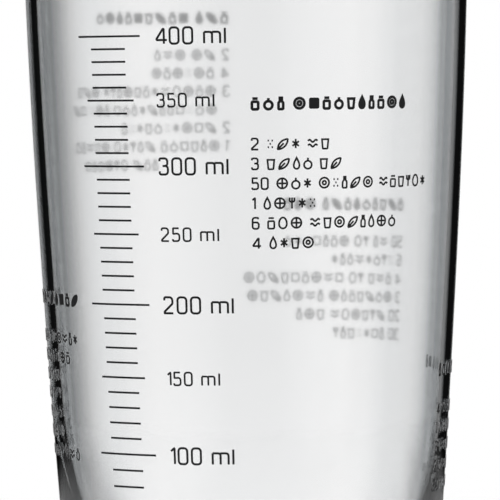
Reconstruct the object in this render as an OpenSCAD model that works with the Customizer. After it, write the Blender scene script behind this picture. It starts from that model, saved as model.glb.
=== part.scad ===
// Shaker bottle for salad dressing: a tapered glass beaker with a printed
// millilitre scale, and a screw lid with a pouring spout, a hinged cap and a
// twist lock. Millimetres, +Z up, origin on the axis where the foot stands.

/* [Beaker] */
// Outer radius at the widest point, just under the lid
belly_r = 40.4; // [37:0.1:46]
// How much smaller the outer radius is at the foot
taper = 8.1; // [5:0.1:10]
// Height of the tapered wall, from the table to the shoulder
body_h = 139; // [125:1:160]
// Bulge of the taper: 1 is a straight cone, more is rounder
taper_power = 1.4; // [1.1:0.05:1.8]
// Thickness of the side wall
wall = 2; // [1.8:0.1:3]
// Thickness of the floor
floor_t = 6; // [4:0.5:9]
// Width of the rounded corner between floor and wall, inside
bowl_w = 17; // [10:0.5:20]
// Height of that rounded corner
bowl_h = 47; // [30:1:60]
// Radius of the rounded edge under the foot
foot_fillet = 4; // [2:0.5:6]
// Depth of the hollow under the foot
punt_depth = 1.5; // [0.8:0.1:2.5]
// Width of the flat ring that the beaker stands on
foot_land = 5; // [3:0.5:8]

/* [Neck and thread] */
// Height of the neck, from the shoulder to the rim
neck_h = 16; // [14:0.5:20]
// How far the neck is set in from the widest radius
neck_inset = 3.3; // [3:0.1:4]
// Thickness of the neck wall
neck_wall = 3.4; // [3:0.1:4.5]
// Rise of the thread in one turn
thread_lead = 8; // [6.8:0.2:10]
// How far each ridge of the thread stands out of its wall
thread_depth = 1.1; // [0.9:0.1:1.3]
// Width of a ridge where it meets its wall
thread_base = 1.8; // [1.4:0.1:2]
// Width of a ridge at its crest
thread_crest = 1.0; // [0.7:0.1:1.2]
// Angle that each ridge on the neck runs over
neck_turn = 285; // [240:15:300]
// Angle that each ridge in the lid runs over
lid_turn = 240; // [180:15:270]

/* [Lid] */
// Height of the flat deck above the rim of the beaker
deck_rise = 10; // [9:0.5:14]
// Thickness of the deck
deck_t = 2.2; // [1.8:0.1:3]
// Thickness of the silicone seal
seal_t = 1.6; // [1.2:0.1:2.4]
// Thickness of the steel band round the skirt
band_t = 0.55; // [0.4:0.05:0.8]
// Gap between the lid's skirt and the shoulder of the beaker
skirt_gap = 0.7; // [0.4:0.1:1.2]
// Height of the lock ring above the deck
ring_lip = 3.2; // [2.9:0.1:4]
// Wall of the lock ring
ring_wall = 4; // [3.5:0.1:5]
// Number of grip flutes round the lock ring
ring_flutes = 40; // [24:4:60]

/* [Sieve] */
// How far the sieve hangs into the beaker below the rim
sieve_depth = 13; // [9:0.5:14]
// Radius of the holes in the sieve disc
sieve_hole_r = 1.8; // [1.2:0.1:1.9]
// Number of rings of holes
sieve_rings = 4; // [2:1:4]

/* [Spout and cap] */
// Inner radius of the pouring spout
spout_r = 6.5; // [5:0.1:7.5]
// Wall of the pouring spout
spout_wall = 1.5; // [1.2:0.1:2]
// Height of the spout above the deck
spout_rise = 10; // [9:0.5:13]
// Wall of the hinged cap
cap_wall = 1.8; // [1.4:0.1:2.2]
// Height of the hinged cap above the deck
cap_rise = 16; // [16:0.5:20]
// Radius of the rounded edge round the top of the cap
cap_fillet = 4; // [3:0.5:5]
// Radius of the hinge pin
pin_r = 1.5; // [1.2:0.1:1.8]
// Width of the hinge knuckle on the cap
knuckle_w = 13; // [10:0.5:16]

/* [Scale] */
// First mark of the scale, in millilitres
scale_from = 50; // [50:50:100]
// Last mark of the scale, in millilitres
scale_to = 400; // [300:50:400]
// Millilitres between two marks
scale_step = 10; // [10:10:50]
// Direction of the middle of the scale, in degrees round the beaker
scale_angle = -127.8; // [-150:0.1:-100]
// Height of one printed mark
mark_h = 0.35; // [0.2:0.05:0.6]
// Thickness of the printed ink
ink_t = 0.12; // [0.08:0.01:0.2]

/* [Hidden] */
$fn = 96;

// Clearances
face_gap = 0.05;      // between flat faces that press together
fit_gap = 0.1;        // between parts that are pushed together
run_gap = 0.06;       // radial, between the hinge pin and the knuckle
thread_gap = 0.4;     // radial, between a crest and the wall facing it
thread_play = 0.25;   // axial, between the flanks that bear on each other
move_gap = 0.3;       // between parts that pass each other
ink_gap = 0.02;       // between the ink and the glass
bead = 0.6;           // how far a snap bead stands out

// Beaker
profile_step = 2.5;                    // height of one band of the curved wall
foot_r = belly_r - taper;
neck_r = belly_r - neck_inset;
neck_in_r = neck_r - neck_wall;
shoulder_r = 1.5;
throat_h = 12;                         // height over which the inside narrows to the neck
throat_z = body_h + 4;                 // where the inside reaches the neck's bore
rim_z = body_h + neck_h;
rim_fillet = 0.6;
seat_w = 1.4;                          // width of the step in the rim for the sieve's flange
seat_t = 1.2;                          // depth of that step
punt_r = foot_r - foot_fillet - foot_land;
punt_slope = 4;

// Thread: two ridges, each rising thread_lead in a turn
thread_starts = 2;
thread_sink = 0.5;                     // how deep a ridge is rooted in its wall
thread_seg = 7.5;                      // degrees of one segment of a ridge
thread_run = 3;                        // segments over which a ridge rises at its ends
thread_z = body_h + 6;                 // middle of a ridge where it starts on the neck
lid_in_r = neck_r + thread_depth + thread_gap;
flank = (thread_base - thread_crest) / 2 / thread_depth;
mesh_depth = thread_depth - thread_gap;
mesh_w = (thread_base + thread_crest + 2 * flank * thread_gap) / 2;
lid_thread_drop = mesh_w + thread_play;

// Lid
deck_z = rim_z + deck_rise;
press_z = rim_z + seal_t + 2 * face_gap;
skirt_z = body_h + shoulder_r + skirt_gap;
skirt_r = belly_r - band_t - face_gap;
band_lip = 0.8;                        // height of the lip under the band
band_top = press_z + 2.8;
ring_z = band_top + 0.8 + fit_gap * 2;
ring_in_r = belly_r - ring_wall;
ring_seat_r = ring_in_r - fit_gap * 2;
ring_top = deck_z + ring_lip;
cavity_r = neck_in_r - 1;
cavity_z = press_z + 1.6;
seal_in_r = neck_in_r - 0.8;
seal_out_r = neck_r + 0.5;
hook_r = seal_in_r + 0.15;             // inside of the rim that the sieve frame hooks over
hook_t = 0.5;
hook_room = hook_r + 1.2;

// Sieve
flange_r = neck_in_r + seat_w - 0.2;
frame_r = neck_in_r - 0.4;
frame_wall = 1.2;
frame_taper = 2.6;
collar_r = seal_in_r - fit_gap;
lip_z = press_z + hook_t + fit_gap;    // underside of the frame's hooked lip
lip_t = 0.6;
disc_t = 0.8;
disc_z = rim_z - sieve_depth;
disc_r = frame_r - frame_taper - fit_gap;
ledge_w = 1.6;
hole_pitch = (disc_r - ledge_w - sieve_hole_r) / (sieve_rings + 0.35);
holes_per_ring = 6;

// Spout, counted from the lid's axis towards the pouring side
flange_w = 2;
flange_t = 1.5;
gasket_w = 1.5;
gasket_t = 1.2;
clip_t = 1.2;
clip_w = 2.4;
clip_bite = 0.6;                       // how deep the clip sits in the spout's groove
clip_slit = 50;
spout_out_r = spout_r + spout_wall;
spout_flange_r = spout_out_r + flange_w;
lip_flare = 1;
cap_gap = 1.2;
cap_r = spout_flange_r + cap_gap + cap_wall;
nose_gap = 3.4;                        // between the cap's nose and the lock ring
spout_x = -(ring_in_r - nose_gap - cap_r);
spout_top = deck_z + spout_rise;
vent_r = 1.2;
vent_wall = 1.8;
vent_h = 5;
vent_x = spout_x + spout_flange_r + 2.5 + vent_r + vent_wall;

// Hinge and cap: the cap's back edge has to swing past the vent
cap_floor = deck_z + 0.4;
hinge_z = spout_top - 1;
knuckle_r = pin_r + 2.5;
back_gap = 2;
swing_r = norm([knuckle_r + back_gap + cap_wall, hinge_z - cap_floor]) + move_gap;
hinge_x = vent_x + vent_r + vent_wall + sqrt(pow(swing_r, 2) - pow(hinge_z - deck_z - vent_h, 2));
ear_gap = 0.4;
ear_w = 3.6;
cap_back = hinge_x - knuckle_r - back_gap;
cap_top = deck_z + cap_rise;
plug_flange_t = 1.5;
plug_depth = 3.6;                      // how far the plug reaches into the spout
plug_neck = 1.2;                       // length of its straight part there
plug_gap = 0.2;                        // radial, between that part and the spout
plug_taper = 0.9;                      // how much narrower its tip is
ledge_t = 1.2;
ledge_half = 7;
ledge_reach = ring_in_r - 1.2;
tab_half = 6;
tab_t = 2;
tab_z = deck_z + 7;
tab_reach = 4.2;
inlay_inset = 6;
inlay_t = 0.6;

// Lock ring
lug_half = 8;
lug_in_r = ring_in_r - 2.9;
lug_t = 1.3;
lock_angle = 28;
groove_z = ring_z + 2.4;
groove_h = 1.6;
flute_r = 0.9;
flute_in = 0.45;

// Printed marks
mark_half = 5.5;       // half the angle that a short mark covers
mark_half_50 = 7.6;    // the same for every 50 ml
mark_half_100 = 10;    // and for every 100 ml
panel_gap = 7;         // from the middle of a panel's title to its first line
panel_pitch = 3.45;    // between two lines
line_h = 1.1;
title_h = 2.2;
// Start angle, height of the title, and the angles each line starts and ends at, title first
panels = [
    [-89.2, 107.2, [[0, 44], [0, 20.5], [0, 24], [0, 53], [0, 17], [0, 41.5], [0, 16.5]]],
    [-23.1, 59, [[0, 42], [0, 24], [0, 21], [0, 26], [0, 18], [0, 30]]],
    [37.7, 87.6, [[0, 42], [0, 42], [0, 27], [0, 54], [0, 53], [0, 38], [0, 26]]],
    [95.1, 123, [[0, 42], [0, 22], [0, 23], [0, 52], [3.7, 54.7], [0, 34], [0, 54.5], [22, 50]]],
    [171.4, 72.5, [[0, 44.5], [0, 43], [0, 38], [0, 27], [0, 24], [0, 26], [0, 24], [0, 40]]],
];

function out_r(z) = belly_r - taper * pow(max(0, 1 - z / body_h), taper_power);
function bowl(h) = bowl_w * (1 - sqrt(max(0, 1 - pow(max(0, 1 - h / bowl_h), 2))));
function ease(t) = let (c = min(1, max(0, t))) c * c * (3 - 2 * c);
function throat(z) = ease((z - throat_z + throat_h) / throat_h);
function in_r(z) = (out_r(z) - wall - bowl(z - floor_t)) * (1 - throat(z)) + neck_in_r * throat(z);
function arc(c, r, a0, a1, n) = [for (i = [0:n]) let (a = a0 + (a1 - a0) * i / n)
    [c[0] + r * cos(a), c[1] + r * sin(a)]];

// Volume under each height inside the beaker, as pairs of cubic millimetres and height
slice_h = 0.5;
function slice(z) = PI * pow(in_r(z + slice_h / 2), 2) * slice_h;
function filled(z, v) = z > body_h ? [] : concat([[v, z]], filled(z + slice_h, v + slice(z)));
fill_table = filled(floor_t, 0);
function level(ml) = lookup(ml * 1000, fill_table);

// Ring with a rectangular section
module ring(r_in, r_out, z0, z1) {
    translate([0, 0, z0])
        difference() {
            cylinder(r = r_out, h = z1 - z0);
            translate([0, 0, -1]) cylinder(r = r_in, h = z1 - z0 + 2);
        }
}

// Helical ridge on a wall of radius root_r: side is 1 for outwards and -1 for inwards
module ridge(root_r, side, z0, turn, phase) {
    steps = ceil(turn / thread_seg);
    function rise(i) = min(1, i / thread_run, (steps - i) / thread_run);
    deep = root_r - side * thread_sink;
    half_deep = thread_base / 2 + flank * thread_sink;
    function section(i) =
        let (a = phase + turn * i / steps,
             z = z0 + thread_lead * turn * i / steps / 360,
             r = root_r + side * (thread_depth * rise(i) - thread_sink / 2 * (1 - rise(i))),
             half = thread_crest / 2)
        [for (p = [[deep, z - half_deep], [r, z - half], [r, z + half], [deep, z + half_deep]])
            [p[0] * cos(a), p[0] * sin(a), p[1]]];
    points = [for (i = [0:steps]) each section(i)];
    walls = [for (i = [0:steps - 1], k = [0:3])
        let (a = 4 * i + k, b = 4 * i + (k + 1) % 4)
        each [[a, b, b + 4], [a, b + 4, a + 4]]];
    e = 4 * steps;
    ends = [[0, 2, 1], [0, 3, 2], [e, e + 1, e + 2], [e, e + 2, e + 3]];
    faces = concat(walls, ends);
    polyhedron(points, side > 0 ? faces : [for (f = faces) [f[2], f[1], f[0]]], convexity = 6);
}

module thread(root_r, side, z0, turn) {
    for (k = [0:thread_starts - 1])
        ridge(root_r, side, z0, turn, 360 * k / thread_starts);
}

module beaker() {
    lean = foot_fillet;
    outer = concat(
        [[0, punt_depth], [punt_r - punt_slope, punt_depth], [punt_r, 0]],
        arc([out_r(lean) - foot_fillet, foot_fillet], foot_fillet, -90, 0, 8),
        [for (z = [lean + profile_step:profile_step:body_h - profile_step / 2]) [out_r(z), z]],
        arc([belly_r - shoulder_r, body_h], shoulder_r, 0, 90, 6),
        [[neck_r, body_h + shoulder_r]],
        arc([neck_r - rim_fillet, rim_z - rim_fillet], rim_fillet, 0, 90, 4));
    inner = concat(
        [[neck_in_r + seat_w, rim_z], [neck_in_r + seat_w, rim_z - seat_t], [neck_in_r, rim_z - seat_t]],
        [for (z = [throat_z:-profile_step / 2:floor_t + bowl_h]) [in_r(z), z]],
        [for (a = [5:5:85]) let (z = floor_t + bowl_h * (1 - sin(a))) [in_r(z), z]],
        [[in_r(floor_t), floor_t], [0, floor_t]]);
    color("lightcyan", 0.5)
        union() {
            rotate_extrude() polygon(concat(outer, inner));
            thread(neck_r, 1, thread_z, neck_turn);
        }
}

// Mark printed on the wall: it follows the slope of the glass
module ink(z, h, from, sweep) {
    low = z - h / 2;
    high = z + h / 2;
    rotate([0, 0, from])
        rotate_extrude(angle = sweep)
            polygon([[out_r(low) + ink_gap, low], [out_r(low) + ink_gap + ink_t, low],
                     [out_r(high) + ink_gap + ink_t, high], [out_r(high) + ink_gap, high]]);
}

module scale_marks() {
    color("dimgray")
        for (ml = [scale_from:scale_step:scale_to]) {
            half = ml % 100 == 0 ? mark_half_100 : ml % 50 == 0 ? mark_half_50 : mark_half;
            ink(level(ml), mark_h, scale_angle - half, 2 * half);
        }
}

module recipe_marks() {
    color("dimgray")
        for (p = panels, i = [0:len(p[2]) - 1]) {
            from = p[0] + p[2][i][0];
            sweep = p[2][i][1] - p[2][i][0];
            if (i == 0)
                ink(p[1], title_h, from, sweep);
            else
                ink(p[1] - panel_gap - (i - 1) * panel_pitch, line_h, from, sweep);
        }
}

module sieve_frame() {
    wall_in = frame_r - frame_wall;
    low_r = frame_r - frame_taper;
    color("gainsboro")
        rotate_extrude()
            polygon([[wall_in, rim_z - seat_t], [wall_in - frame_taper, disc_z + disc_t + fit_gap],
                     [low_r, disc_z + disc_t + fit_gap], [low_r, disc_z - fit_gap],
                     [low_r - ledge_w, disc_z - fit_gap], [low_r - ledge_w, disc_z - frame_wall],
                     [low_r + frame_wall, disc_z - frame_wall],
                     [frame_r, disc_z + seat_t * 3], [frame_r, rim_z - seat_t + face_gap],
                     [flange_r, rim_z - seat_t + face_gap], [flange_r, rim_z - face_gap],
                     [collar_r, rim_z - face_gap], [collar_r, lip_z], [hook_r + 0.5, lip_z],
                     [hook_r + 0.2, lip_z + lip_t], [wall_in, lip_z + lip_t]]);
}

module sieve_disc() {
    color("silver")
        translate([0, 0, disc_z])
            difference() {
                cylinder(r = disc_r, h = disc_t);
                for (k = [0:sieve_rings], j = [0:max(1, holes_per_ring * k) - 1])
                    rotate([0, 0, 360 * j / max(1, holes_per_ring * k)])
                        translate([hole_pitch * k, 0, -1])
                            cylinder(r = sieve_hole_r, h = disc_t + 2);
            }
}

module lid_seal() {
    color("whitesmoke") ring(seal_in_r, seal_out_r, rim_z + face_gap, rim_z + face_gap + seal_t);
}

// Bearing block for one end of the hinge pin
module ear(side) {
    y0 = side * (knuckle_w / 2 + ear_gap + ear_w / 2);
    translate([hinge_x, y0, 0]) {
        translate([-knuckle_r, -ear_w / 2, deck_z - 1])
            cube([2 * knuckle_r, ear_w, hinge_z - deck_z + 1]);
        translate([0, ear_w / 2, hinge_z]) rotate([90, 0, 0]) cylinder(r = knuckle_r, h = ear_w);
    }
}

module lid_top() {
    seat_top = ring_z - fit_gap * 2;
    color([0.16, 0.17, 0.18])
        difference() {
            union() {
                rotate_extrude()
                    polygon([[lid_in_r, skirt_z], [belly_r, skirt_z], [belly_r, skirt_z + band_lip],
                             [skirt_r, skirt_z + band_lip], [skirt_r, band_top], [belly_r, band_top],
                             [belly_r, seat_top], [ring_seat_r, seat_top],
                             [ring_seat_r, groove_z], [ring_seat_r + bead, groove_z + bead / 2],
                             [ring_seat_r + bead, groove_z + groove_h - bead],
                             [ring_seat_r, groove_z + groove_h - bead / 2],
                             [ring_seat_r, deck_z], [0, deck_z], [0, deck_z - deck_t],
                             [cavity_r, deck_z - deck_t], [cavity_r, cavity_z + 0.4],
                             [hook_room, cavity_z + 0.4], [hook_room, press_z + hook_t],
                             [hook_r, press_z + hook_t], [hook_r, press_z], [lid_in_r, press_z]]);
                thread(lid_in_r, -1, thread_z - lid_thread_drop, lid_turn);
                ear(1);
                ear(-1);
                translate([vent_x, 0, deck_z - 1]) cylinder(r = vent_r + vent_wall, h = vent_h + 1);
            }
            translate([spout_x, 0, deck_z - deck_t - 1]) cylinder(r = spout_out_r + fit_gap, h = deck_t + 2);
            translate([spout_x, 0, deck_z - gasket_t])
                cylinder(r = spout_out_r + gasket_w + fit_gap, h = gasket_t + 1);
            translate([vent_x, 0, deck_z - deck_t - 1]) cylinder(r = vent_r, h = deck_t + vent_h + 2);
            translate([hinge_x, -knuckle_w, hinge_z]) rotate([-90, 0, 0])
                cylinder(r = pin_r + face_gap / 2, h = 2 * knuckle_w);
        }
}

module trim_band() {
    color("silver")
        ring(skirt_r + face_gap, belly_r, skirt_z + band_lip + face_gap, band_top - face_gap);
}

module pour_spout() {
    groove_top = deck_z - deck_t;
    groove_low = groove_top - clip_t - 2 * face_gap;
    low_z = groove_low - 1;
    groove_r = spout_out_r - clip_bite;
    flare_z = spout_top - 3;
    color("silver")
        translate([spout_x, 0, 0])
            rotate_extrude()
                polygon([[spout_r, low_z], [spout_out_r, low_z], [spout_out_r, groove_low],
                         [groove_r, groove_low], [groove_r, groove_top], [spout_out_r, groove_top],
                         [spout_out_r, deck_z + face_gap],
                         [spout_flange_r, deck_z + face_gap], [spout_flange_r, deck_z + flange_t],
                         [spout_out_r, deck_z + flange_t], [spout_out_r, flare_z],
                         [spout_out_r + lip_flare, spout_top], [spout_r, spout_top]]);
}

module spout_gasket() {
    color("whitesmoke")
        translate([spout_x, 0, 0])
            ring(spout_out_r + face_gap, spout_out_r + gasket_w, deck_z - gasket_t + face_gap, deck_z);
}

module spout_clip() {
    in_edge = spout_out_r - clip_bite + face_gap;
    color("silver")
        translate([spout_x, 0, deck_z - deck_t - face_gap - clip_t])
            rotate([0, 0, clip_slit / 2])
                rotate_extrude(angle = 360 - clip_slit)
                    translate([in_edge, 0]) square([spout_out_r + clip_w - in_edge, clip_t]);
}

module hinge_pin() {
    pin_l = knuckle_w + 2 * ear_gap + 2 * ear_w;
    color("silver")
        translate([hinge_x, -pin_l / 2, hinge_z])
            rotate([-90, 0, 0]) cylinder(r = pin_r, h = pin_l);
}

module pin_caps() {
    reach = knuckle_w / 2 + ear_gap + ear_w + face_gap;
    cap_t = 0.8;
    color("silver")
        for (side = [-1, 1])
            translate([hinge_x, side * (reach + cap_t / 2), hinge_z])
                rotate([90, 0, 0]) cylinder(r = pin_r + 1, h = cap_t, center = true);
}

module lock_ring() {
    edge = 0.7;
    groove_r = ring_in_r + bead;
    color([0.16, 0.17, 0.18])
        union() {
            difference() {
                rotate_extrude()
                    polygon([[ring_in_r, ring_z], [belly_r, ring_z], [belly_r, ring_top - edge],
                             [belly_r - edge, ring_top], [ring_in_r, ring_top],
                             [ring_in_r, groove_z + groove_h], [groove_r, groove_z + groove_h],
                             [groove_r, groove_z - bead / 2], [ring_in_r, groove_z - bead / 2]]);
                for (i = [0:ring_flutes - 1])
                    rotate([0, 0, 360 * i / ring_flutes])
                        translate([belly_r + flute_r - flute_in, 0, ring_z + 1.2])
                            cylinder(r = flute_r, h = ring_top - ring_z);
            }
            rotate([0, 0, 180 + lock_angle - lug_half])
                rotate_extrude(angle = 2 * lug_half)
                    translate([lug_in_r, ring_top - lug_t]) square([ring_in_r - lug_in_r + 1, lug_t]);
        }
}

// Half of the cap's section: the whole outline, or the hollow inside it
function cap_outline() = concat([[0, cap_floor], [cap_r, cap_floor]],
    arc([cap_r - cap_fillet, cap_top - cap_fillet], cap_fillet, 0, 90, 8), [[0, cap_top]]);
function cap_hollow() =
    let (r = cap_r - cap_wall, top = cap_top - cap_wall, f = cap_fillet - cap_wall / 2)
    concat([[0, cap_floor - 1], [r, cap_floor - 1]], arc([r - f, top - f], f, 0, 90, 6), [[0, top]]);
function mirrored(p) = concat(p, [for (i = [len(p) - 1:-1:0]) if (p[i][0] > 0) [-p[i][0], p[i][1]]]);

// Stadium-shaped block with the given half section, from the nose to x = back
module cap_form(section, back) {
    translate([spout_x, 0, 0]) {
        rotate([0, 0, 90]) rotate_extrude(angle = 180) polygon(section);
        rotate([90, 0, 90]) linear_extrude(back - spout_x) polygon(mirrored(section));
    }
}

module flip_cap() {
    arm_low = hinge_z - 2;
    boss_r = spout_r - 1.5;
    color([0.16, 0.17, 0.18])
        difference() {
            union() {
                difference() {
                    cap_form(cap_outline(), cap_back);
                    cap_form(cap_hollow(), cap_back - cap_wall);
                }
                // Stem that carries the spout plug, and the one for the vent plug
                translate([spout_x, 0, spout_top + plug_flange_t + face_gap])
                    cylinder(r = boss_r, h = cap_top - spout_top - 2);
                translate([vent_x, 0, deck_z + vent_h + 2 + face_gap])
                    cylinder(r = vent_r + 0.6, h = cap_top - deck_z - vent_h - 3);
                // Ledge that the lock ring's lug closes over
                intersection() {
                    translate([-ledge_reach - 1, -ledge_half, cap_floor])
                        cube([ledge_reach + 1 + spout_x - cap_r + 2, 2 * ledge_half, ledge_t]);
                    translate([0, 0, cap_floor]) cylinder(r = ledge_reach, h = ledge_t);
                    difference() {
                        translate([-belly_r, -belly_r, cap_floor]) cube([belly_r, 2 * belly_r, ledge_t]);
                        translate([spout_x, 0, cap_floor - 1])
                            cylinder(r = cap_r - cap_wall / 2, h = ledge_t + 2);
                    }
                }
                // Tab for the thumb
                translate([spout_x - cap_r - tab_reach, -tab_half, tab_z])
                    cube([tab_reach + cap_wall / 2 + 1.2, 2 * tab_half, tab_t]);
                // Arm and knuckle
                translate([cap_back - 1, -knuckle_w / 2, arm_low])
                    cube([hinge_x - cap_back + 1, knuckle_w, hinge_z + knuckle_r - arm_low]);
                translate([hinge_x, knuckle_w / 2, hinge_z])
                    rotate([90, 0, 0]) cylinder(r = knuckle_r, h = knuckle_w);
            }
            translate([hinge_x, knuckle_w, hinge_z])
                rotate([90, 0, 0]) cylinder(r = pin_r + run_gap, h = 2 * knuckle_w);
            translate([0, 0, cap_top - inlay_t]) inlay_form(0, inlay_t + 1);
        }
}

// Plate let into the top of the cap, drawn smaller by the gap given
module inlay_form(gap, h) {
    r = cap_r - inlay_inset - gap;
    translate([spout_x, 0, 0]) cylinder(r = r, h = h);
    translate([spout_x, -r, 0]) cube([cap_back - inlay_inset / 2 - gap - spout_x, 2 * r, h]);
}

module cap_inlay() {
    color("silver")
        translate([0, 0, cap_top - inlay_t + face_gap]) inlay_form(fit_gap, inlay_t - face_gap);
}

module spout_plug() {
    plug_r = spout_r - plug_gap;
    tip_r = plug_r - plug_taper;
    tip_z = spout_top - plug_depth;
    plug_top = spout_top + plug_flange_t;
    color("whitesmoke")
        translate([spout_x, 0, 0])
            rotate_extrude()
                polygon([[0, tip_z], [tip_r, tip_z], [plug_r, spout_top - plug_neck],
                         [plug_r, spout_top + face_gap], [spout_out_r, spout_top + face_gap],
                         [spout_out_r, plug_top], [0, plug_top]]);
}

module vent_plug() {
    pad_z = deck_z + vent_h + face_gap;
    color("whitesmoke")
        translate([vent_x, 0, pad_z]) cylinder(r = vent_r + vent_wall - 0.2, h = 2 - face_gap);
}

beaker();
scale_marks();
recipe_marks();
sieve_frame();
sieve_disc();
lid_seal();
lid_top();
trim_band();
pour_spout();
spout_gasket();
spout_clip();
hinge_pin();
pin_caps();
lock_ring();
flip_cap();
cap_inlay();
spout_plug();
vent_plug();
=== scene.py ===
import math

import bmesh
import bpy
import numpy as np
from mathutils import Matrix, Vector


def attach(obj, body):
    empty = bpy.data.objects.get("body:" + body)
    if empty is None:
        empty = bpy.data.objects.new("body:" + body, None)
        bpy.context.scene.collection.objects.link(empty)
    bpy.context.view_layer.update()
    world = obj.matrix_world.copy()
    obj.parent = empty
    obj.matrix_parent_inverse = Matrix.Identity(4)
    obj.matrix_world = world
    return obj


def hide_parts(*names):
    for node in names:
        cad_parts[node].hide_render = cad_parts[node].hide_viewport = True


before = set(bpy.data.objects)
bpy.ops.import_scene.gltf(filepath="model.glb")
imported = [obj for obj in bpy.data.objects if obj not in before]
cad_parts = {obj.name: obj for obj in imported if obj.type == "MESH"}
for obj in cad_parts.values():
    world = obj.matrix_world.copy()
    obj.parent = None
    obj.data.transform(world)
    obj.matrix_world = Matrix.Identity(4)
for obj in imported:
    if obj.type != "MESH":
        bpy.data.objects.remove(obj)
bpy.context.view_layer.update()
scene = bpy.context.scene
mm = 0.001
print("frame loaded:", len(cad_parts), "CAD nodes")

# Camera

cameraSet = {"distance": 0.864, "height": 0.1135, "aim": 0.0803, "side": 0.0002,
             "lens": 342.0, "lean": -0.62}    # metres, millimetres for the lens, degrees


def placeCamera(s):
    data = bpy.data.cameras.new("camera")
    data.lens = s["lens"]
    data.sensor_width = 36.0
    data.clip_start, data.clip_end = 0.05, 30.0
    camera = bpy.data.objects.new("camera", data)
    scene.collection.objects.link(camera)
    spot = Vector((s["side"], -s["distance"], s["height"]))
    look = Vector((s["side"], 0.0, s["aim"])) - spot
    turn = look.to_track_quat("-Z", "Y").to_matrix().to_4x4()
    camera.matrix_world = Matrix.Translation(spot) @ turn @ Matrix.Rotation(math.radians(s["lean"]), 4, "Z")
    scene.camera = camera


placeCamera(cameraSet)

# Surfaces


def putMesh(name, verts, quads, tris=None, materials=(), sharp=35.0, slotOfFace=None):
    # vertices in millimetres, faces as index arrays
    quads = np.asarray(quads, np.int64).reshape(-1, 4)
    tris = np.zeros((0, 3), np.int64) if tris is None else np.asarray(tris, np.int64).reshape(-1, 3)
    loops = np.concatenate([quads.ravel(), tris.ravel()])
    starts = np.concatenate([np.arange(len(quads)) * 4, len(quads) * 4 + np.arange(len(tris)) * 3])
    mesh = bpy.data.meshes.new(name)
    mesh.vertices.add(len(verts))
    mesh.vertices.foreach_set("co", (np.asarray(verts, float) * mm).astype(np.float32).ravel())
    mesh.loops.add(len(loops))
    mesh.loops.foreach_set("vertex_index", loops.astype(np.int32))
    mesh.polygons.add(len(starts))
    mesh.polygons.foreach_set("loop_start", starts.astype(np.int32))
    mesh.update(calc_edges=True)
    for material in materials:
        mesh.materials.append(material)
    if slotOfFace is not None:
        mesh.polygons.foreach_set("material_index", np.asarray(slotOfFace, np.int32))
    mesh.polygons.foreach_set("use_smooth", np.ones(len(starts), bool))
    mesh.set_sharp_from_angle(angle=math.radians(sharp))
    mesh.update()
    piece = bpy.data.objects.new(name, mesh)
    scene.collection.objects.link(piece)
    return piece


def turnedFaces(rows, columns, poleFirst, poleLast, loop):
    # row i, column j of a grid that closes round the axis; a pole row is one point
    count = np.full(rows, columns)
    if poleFirst:
        count[0] = 1
    if poleLast:
        count[-1] = 1
    first = np.concatenate([[0], np.cumsum(count)[:-1]])
    j = np.arange(columns)
    k = (j + 1) % columns
    low = np.arange(1 if poleFirst else 0, rows - (2 if poleLast else 1))
    a = first[low][:, None]
    b = first[low + 1][:, None]
    quads = np.stack([a + j, a + k, b + k, b + j], axis=2).reshape(-1, 4)
    rowOf = np.repeat(low, columns)
    if loop:
        a, b = first[-1], first[0]
        quads = np.concatenate([quads, np.stack([a + j, a + k, b + k, b + j], axis=1)])
        rowOf = np.concatenate([rowOf, np.full(columns, rows - 1)])
    tris = []
    if poleFirst:
        tris.append(np.stack([np.zeros(columns, int), first[1] + k, first[1] + j], axis=1))
    if poleLast:
        tris.append(np.stack([first[-2] + j, first[-2] + k, np.full(columns, first[-1])], axis=1))
    return quads, (np.concatenate(tris) if tris else None), rowOf


def turned(name, profile, columns=128, centre=(0.0, 0.0), radiusShift=None, loop=False, materials=(),
           sharp=35.0, slotOfRow=None):
    # surface of revolution: x = cx + r cos a, y = cy + r sin a, z = z, with r and z from the profile,
    # which runs anticlockwise round the solid's half section; radiusShift(angle, r, z) adds to r
    profile = np.asarray(profile, float)
    angle = np.arange(columns) * 2 * np.pi / columns
    r = np.repeat(profile[:, :1], columns, axis=1)
    z = np.repeat(profile[:, 1:], columns, axis=1)
    if radiusShift is not None:
        r = r + radiusShift(angle[None, :], r, z)
    poleFirst = not loop and profile[0, 0] < 1e-6
    poleLast = not loop and profile[-1, 0] < 1e-6
    points = np.stack([centre[0] + r * np.cos(angle), centre[1] + r * np.sin(angle), z], axis=2)
    parts = [points[i, :1] if (i == 0 and poleFirst) or (i == len(profile) - 1 and poleLast) else points[i]
             for i in range(len(profile))]
    quads, tris, rowOf = turnedFaces(len(profile), columns, poleFirst, poleLast, loop)
    slots = None
    if slotOfRow is not None:
        slots = np.asarray(slotOfRow)[rowOf]
        if tris is not None:
            ends = [slotOfRow[0]] * (columns * poleFirst) + [slotOfRow[-1]] * (columns * poleLast)
            slots = np.concatenate([slots, ends])
    return putMesh(name, np.concatenate(parts), quads, tris, materials, sharp, slots)


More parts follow.
